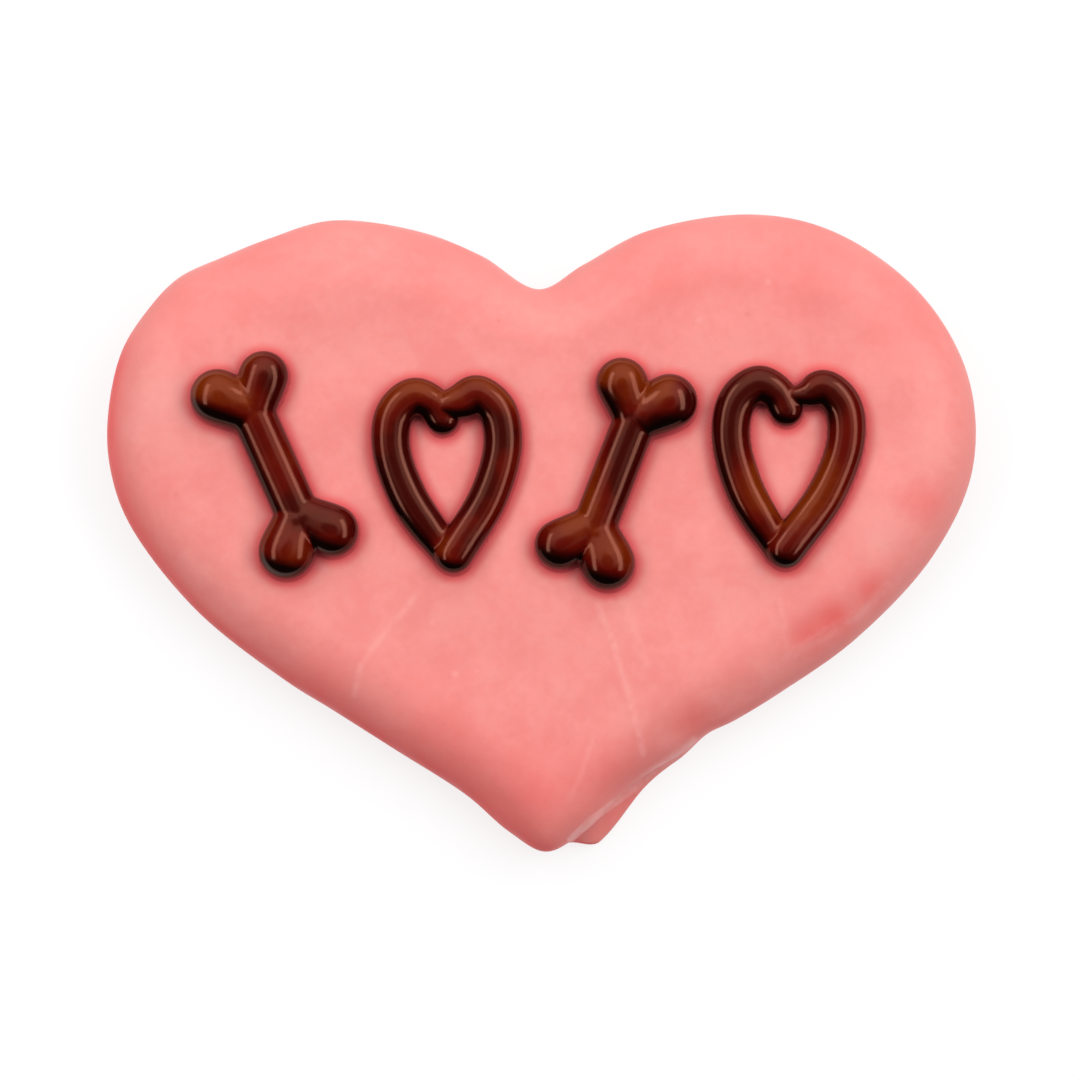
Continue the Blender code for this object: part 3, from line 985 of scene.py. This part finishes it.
    def hairlines_and_highlights(self, bench: NodeBench, plan: Socket, grain: Socket) -> Socket:
        """Marks the folds and the bands of painted highlight.

        Args:
            bench: where the nodes go.
            plan: the point's place, seen from above.
            grain: a noise that breaks the lines up a little.

        Returns:
            How pale the coat is at that point, from 0 to 1.
        """
        marks = None
        for fold in FOLDS_AND_HIGHLIGHTS:
            away = None
            for start, end in zip(fold.points, fold.points[1:]):
                distance = self.distance_to_edge(bench, plan, Vector(start) * MM, Vector(end) * MM)
                away = distance if away is None else bench.math("MINIMUM", away, distance)
            reach = fold.half_width * self.fold_fade * MM
            mark = bench.step(away, (fold.crispness * reach, reach), (fold.paleness, 0.0))
            unbroken = bench.step(grain, (0.3, 0.6), (max(self.hairline_gap, fold.crispness), 1.0))
            mark = bench.math("MULTIPLY", mark, unbroken)
            marks = mark if marks is None else bench.math("MAXIMUM", marks, mark)
        return marks

    @staticmethod
    def distance_to_edge(bench: NodeBench, plan: Socket, start: Vector, end: Vector) -> Socket:
        """Measures the distance to a straight edge.

        Args:
            bench: where the nodes go.
            plan: the point's place, seen from above.
            start: the edge's first point.
            end: its last point.

        Returns:
            The distance in metres.
        """
        edge = end - start
        offset = bench.vector("SUBTRACT", plan, (*start, 0.0)).outputs[0]
        along = bench.vector("DOT_PRODUCT", offset, (*edge, 0.0)).outputs["Value"]
        share = bench.math("MULTIPLY", along, 1 / edge.length_squared, clamp=True)
        nearest = bench.add("ShaderNodeVectorMath", {0: (*edge, 0.0), "Scale": share}, operation="SCALE")
        return bench.vector("DISTANCE", offset, nearest.outputs[0]).outputs["Value"]

    def speck(self, bench: NodeBench, plan: Socket, speck: Speck) -> Socket:
        """Returns how strongly a speck shows at a point, from 0 to 1."""
        middle = (speck.middle[0] * MM, speck.middle[1] * MM, 0.0)
        away = bench.vector("DISTANCE", plan, middle).outputs["Value"]
        return bench.step(away, (0.0, speck.radius * self.speck_fade * MM), (abs(speck.strength), 0.0))


@dataclass(frozen=True)
class DarkIcing:
    """Glossy brown icing: dark red-brown where it is deep, orange-brown where it thins out, with painted
    light and shade.
    """

    slot: str = "dark_icing"
    # the deepest colour also serves as painted shade, the thinnest as painted light
    thick_and_shaded: Colour = (0.040, 0.0006, 0.0004, 1.0)
    middling: Colour = (0.100, 0.0022, 0.0006, 1.0)
    thin_and_lit: Colour = (0.160, 0.0180, 0.0006, 1.0)
    rim: Colour = (0.022, 0.0006, 0.0006, 1.0)  # painted shade where the sides turn down
    shaded: Colour = (0.002, 0.0002, 0.0002, 1.0)
    shaded_way: Way = (-0.26, -0.965, 0.0)  # which way the darkest sides face
    shaded_span: Span = (0.12, 0.5)
    rim_shade_tilt: Span = (0.2, 0.72)  # the normal's Z from the rim's painted shade to the top's colour
    blotch: float = 13.0 * MM
    streak: float = 1.6 * MM
    # how much each adds, least to most, to a share from the deepest, shaded colour (0) to the thinnest, lit
    # one (1)
    blotch_levels: Span = (-0.1, 0.8)
    streak_levels: Span = (-0.06, 0.06)
    # painted light: faces towards +Y are made lighter and more orange, faces towards the tip darker
    lit_side_levels: Span = (-0.3, 0.4)
    roughness: Span = (0.12, 0.18)

    def material(self) -> bpy.types.Material:
        """Makes the icing's material.

        Returns:
            The material, named for its slot.
        """
        material, bench = new_material(self.slot)
        coordinates = bench.add("ShaderNodeTexCoord").outputs
        where = coordinates["Object"]
        facing = bench.add("ShaderNodeSeparateXYZ", {0: coordinates["Normal"]}).outputs
        blotch, streak = bench.noise(where, self.blotch, 1.0), bench.noise(where, self.streak, 3.0)
        thinness_and_light = bench.step(blotch, (0.36, 0.64), self.blotch_levels)
        thinness_and_light = bench.math("ADD", thinness_and_light, bench.step(streak, (0.35, 0.7), self.streak_levels))
        # painted light and shade by which way a face turns
        thinness_and_light = bench.math("ADD", thinness_and_light, bench.step(facing["Y"], (-0.7, 0.9), self.lit_side_levels))
        colour = bench.mix(bench.step(thinness_and_light, (0.0, 0.5)), self.thick_and_shaded, self.middling)
        colour = bench.mix(bench.step(thinness_and_light, (0.45, 1.0)), colour, self.thin_and_lit)
        # painted shade on the steep sides
        colour = bench.mix(bench.step(facing["Z"], self.rim_shade_tilt, (1.0, 0.0)), colour, self.rim)
        away = bench.vector("DOT_PRODUCT", coordinates["Normal"], self.shaded_way).outputs["Value"]
        colour = bench.mix(bench.step(away, self.shaded_span), colour, self.shaded)
        bump = bench.add("ShaderNodeBump", {"Height": streak, "Strength": 0.2, "Distance": 0.03 * MM})
        inputs = {
            "Base Color": colour,
            "Roughness": bench.step(streak, (0.3, 0.7), self.roughness),
            "IOR": 1.45,
            "Specular IOR Level": 0.6,
            "Specular Tint": (1.0, 0.40, 0.27, 1.0),
            "Normal": bump.outputs[0],
        }
        bench.shade(inputs)
        material.diffuse_color = self.middling
        return material


@dataclass(frozen=True)
class PaleTable:
    """A matt white table top that glows a little, so that shadows on it stay faint."""

    colour: Colour = (0.22, 0.22, 0.22, 1.0)
    glow: float = 0.78

    def material(self) -> bpy.types.Material:
        """Makes the table's material.

        Returns:
            The material.
        """
        material, bench = new_material("pale_table")
        inputs = {
            "Base Color": self.colour,
            "Roughness": 0.9,
            "Specular IOR Level": 0.1,
            "Emission Color": (1.0, 1.0, 1.0, 1.0),
            "Emission Strength": self.glow,
        }
        bench.shade(inputs)
        return material


# ---- the studio ----
@dataclass(frozen=True)
class Softbox:
    """A soft rectangular light that points at the biscuit."""

    name: str
    place: Way
    size: tuple[float, float]  # width, length
    watts: float

    def build(self) -> None:
        """Hangs the light."""
        light = bpy.data.lights.new(self.name, "AREA")
        light.shape = "RECTANGLE"
        light.size_y, light.size = self.size  # the length lies along Y
        light.energy = self.watts
        lamp = show(self.name, light)
        lamp.location = self.place
        lamp.rotation_euler = (-Vector(self.place)).to_track_quat("-Z", "Y").to_euler()


@dataclass
class Studio:
    """The table, the lights and the camera, which looks straight down."""

    softboxes: tuple[Softbox, ...] = (
        Softbox("left_strip", (-0.54, 0.10, 0.58), (0.20, 1.00), 2.6),
        Softbox("right_strip", (0.56, 0.10, 0.58), (0.26, 1.00), 3.4),
    )
    table_half: float = 3.0
    lens: float = 150.0
    sensor: float = 36.0
    clip: Span = (0.01, 20.0)
    framed: float = 124.4 * MM  # how much the camera takes in, at the height of the heart's outline
    outline_height: float = 2.0 * MM
    aim: Point = (-0.17 * MM, -0.80 * MM)
    glow_way: Vector = Vector((0.06, 0.54, 0.84)).normalized()  # where the room is brightest
    glow_reach: float = math.radians(60)
    glow_light: float = 2.24
    room_light: float = 0.05
    shade_reach: Span = (math.radians(24), math.radians(12))  # the dark room behind the camera
    shade_share: float = 0.15  # how much of the light is left there

    def build(self) -> None:
        """Sets the table, hangs the lights and places the camera."""
        self.table()
        self.sky()
        for softbox in self.softboxes:
            softbox.build()
        self.camera()
        bpy.context.scene.view_settings.view_transform = "Standard"

    def table(self) -> None:
        """Lays the table top under the biscuit."""
        half = self.table_half
        corners = [(-half, -half, 0), (half, -half, 0), (half, half, 0), (-half, half, 0)]
        mesh = bpy.data.meshes.new("table_top")
        mesh.from_pydata(corners, [], [(0, 1, 2, 3)])
        mesh.materials.append(PaleTable().material())
        show("table_top", mesh)

    def sky(self) -> None:
        """Fills the room with soft light, brightest high up on the +Y side."""
        world = bpy.data.worlds.new("studio_room")
        bpy.context.scene.world = world
        world.use_nodes = True
        bench = NodeBench(world.node_tree)
        way = bench.add("ShaderNodeTexCoord").outputs["Generated"]
        nearness = bench.vector("DOT_PRODUCT", way, tuple(self.glow_way)).outputs["Value"]
        strength = bench.step(nearness, (math.cos(self.glow_reach), 1.0), (self.room_light, self.glow_light))
        height = bench.add("ShaderNodeSeparateXYZ", {0: way}).outputs["Z"]
        cosines = tuple(math.cos(reach) for reach in self.shade_reach)
        shade = bench.step(height, cosines, (1.0, self.shade_share))
        strength = bench.math("MULTIPLY", strength, shade)
        glow = bench.add("ShaderNodeBackground", {"Strength": strength})
        bench.add("ShaderNodeOutputWorld", {"Surface": glow.outputs[0]})

    def camera(self) -> None:
        """Hangs the camera over the biscuit, with +Y at the top of the frame."""
        data = bpy.data.cameras.new("overhead_camera")
        data.lens, data.sensor_width = self.lens, self.sensor
        data.clip_start, data.clip_end = self.clip
        camera = show("overhead_camera", data)
        distance = self.framed * self.lens / self.sensor
        camera.location = (*self.aim, self.outline_height + distance)
        bpy.context.scene.camera = camera


# ---- the whole ----
MOTIFS = (
    PipedMotif("piped_bone_left", MotifShape.BONE, (-30.2, 7.9), 24.0, seed=10),
    PipedMotif("piped_heart_left", MotifShape.HEART, (-10.6, 6.6), 2.0, flick=(-3.0, 7.6), seed=20),
    PipedMotif("piped_bone_right", MotifShape.BONE, (8.3, 6.8), 159.0, 1.02, seed=30),
    PipedMotif("piped_heart_right", MotifShape.HEART, (27.8, 7.4), -3.0, 1.03, flick=(-1.4, 8.0), seed=40),
)


def finish_piece(piece: bpy.types.Object, material: bpy.types.Material, slot: str, node: str) -> None:
    """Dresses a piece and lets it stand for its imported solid.

    Args:
        piece: the fine mesh.
        material: its finish.
        slot: the record's slot that the finish belongs to.
        node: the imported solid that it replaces.
    """
    piece.data.materials.append(material)
    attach(piece, BODY)
    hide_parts(node)
    LOG.info("%s: %d faces, %s", piece.name, len(piece.data.polygons), slot)


def main() -> None:
    """Builds the biscuit, pipes its motifs and sets up the studio."""
    logging.basicConfig(level=logging.INFO, format="%(name)s: %(message)s")
    pink, dark = PinkIcing(), DarkIcing()
    biscuit = IcedBiscuit()
    finish_piece(biscuit.build(MOTIFS), pink.material(), pink.slot, biscuit.node)
    dark_material = dark.material()
    for motif in MOTIFS:
        finish_piece(motif.build(), dark_material, dark.slot, motif.node)
    Studio().build()
    LOG.info("studio: table, lights and camera")


if __name__ == "__main__":
    main()
